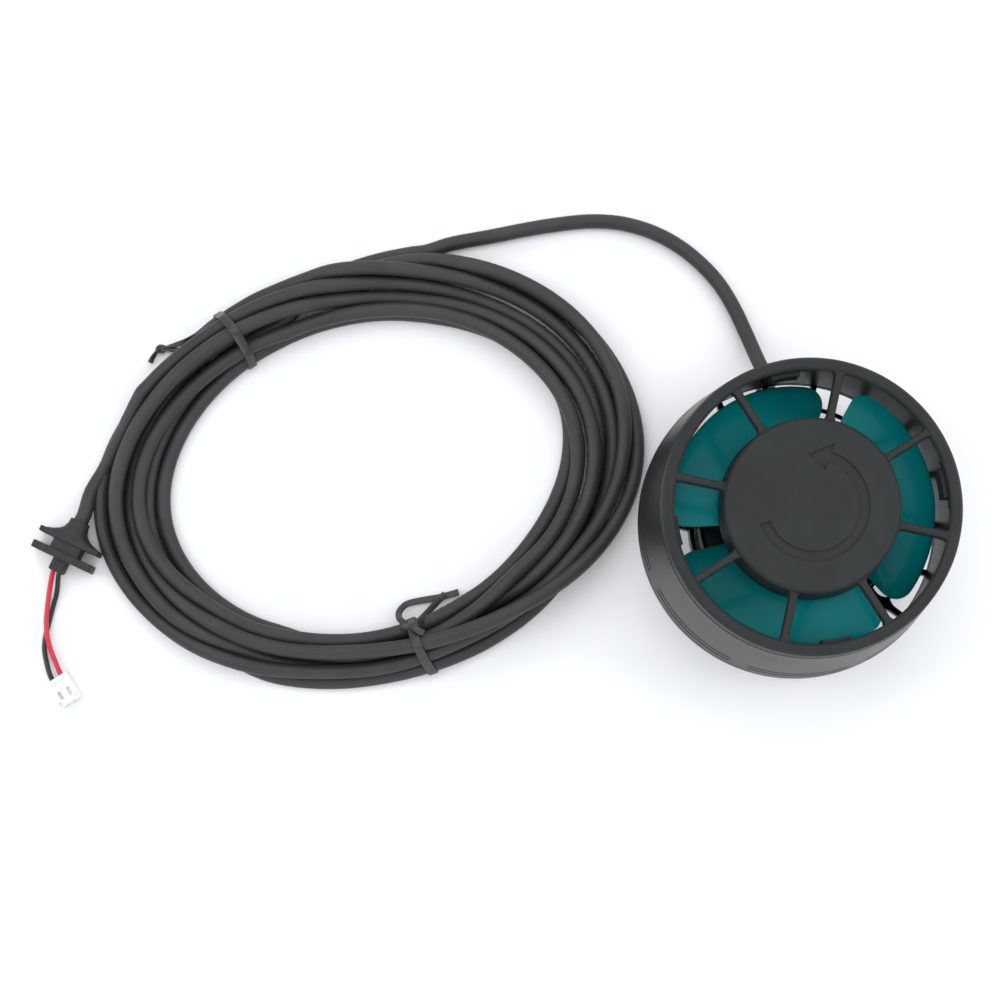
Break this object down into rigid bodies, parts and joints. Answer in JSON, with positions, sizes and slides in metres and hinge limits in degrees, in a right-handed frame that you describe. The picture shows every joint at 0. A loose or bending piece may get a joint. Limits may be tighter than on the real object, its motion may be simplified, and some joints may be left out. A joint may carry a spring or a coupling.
{
  "type": "submersible circulation pump",
  "caption": "Small round submersible circulation pump with a spoked front guard, teal propeller, magnet rotor and a coiled two-core cable ending in a panel grommet and plug.",
  "frame": {"origin": "centre of the underside of the back rubber pad, on the pump axis", "axes": "+Z along the pump axis from the back pad to the front guard, +X and +Y across it, with the cable leaving near +Y and its coil lying towards -X"},
  "size_m": [0.2307, 0.1287, 0.0608],
  "materials": {
    "guard_plastic": "fine matt moulded texture, charcoal",
    "housing_plastic": "satin moulded black with a soft sheen",
    "teal_plastic": "slightly translucent deep teal, glossy",
    "soft_rubber": "matt black rubber",
    "magnet": "coated sintered magnet, grey",
    "stainless": "fine brushed",
    "laminated_steel": "stacked laminations",
    "enamelled_wire": null,
    "board": "green solder mask",
    "ceramic_rod": "polished white ceramic",
    "washer_plastic": "natural low-friction plastic",
    "cable_jacket": "matt charcoal flexible jacket",
    "tie_plastic": "flat black plastic-covered wire",
    "red_insulation": "satin red insulation",
    "black_insulation": "satin black insulation",
    "nylon": "natural white nylon",
    "tinned_metal": "tinned sheet metal"
  },
  "bodies": {
    "housing": {"motor_can": "housing_plastic", "back_cover": "housing_plastic", "rubber_pad": "soft_rubber", "mount_magnet": "magnet", "keeper_plate": "stainless", "seal_ring": "soft_rubber", "stator_core": "laminated_steel", "circuit_board": "board", "shaft": "ceramic_rod", "rear_bush": "soft_rubber", "rear_washer": "washer_plastic", "front_washer": "washer_plastic", "shroud": "housing_plastic", "rear_cage": "housing_plastic", "cable_gland": "soft_rubber", "cable_lead": "cable_jacket", "cable_coil": "cable_jacket", "wire_tie_upper": "tie_plastic", "wire_tie_lower": "tie_plastic", "cable_tail": "cable_jacket", "panel_grommet": "soft_rubber", "wire_red": "red_insulation", "wire_black": "black_insulation", "connector_housing": "nylon", "contact_1": "tinned_metal", "contact_2": "tinned_metal", "cover_screw_1": "stainless", "cover_screw_2": "stainless", "cover_screw_3": "stainless", "cover_screw_4": "stainless", "winding_1": "enamelled_wire", "winding_2": "enamelled_wire", "winding_3": "enamelled_wire", "winding_4": "enamelled_wire", "winding_5": "enamelled_wire", "winding_6": "enamelled_wire"},
    "guard": {"front_guard": "guard_plastic", "front_bush": "soft_rubber"},
    "rotor": {"propeller": "teal_plastic", "rotor_magnet": "magnet", "rotor_sleeve": "stainless"}
  },
  "joints": [
    {"name": "rotor_spin", "type": "hinge", "parent": "housing", "child": "rotor", "pos_m": [0, 0, 0.04], "axis": [0, 0, 1], "continuous": true},
    {"name": "guard_twist", "type": "hinge", "parent": "housing", "child": "guard", "pos_m": [0, 0, 0.058], "axis": [0, 0, 1], "range_deg": [0, 17]}
  ]
}
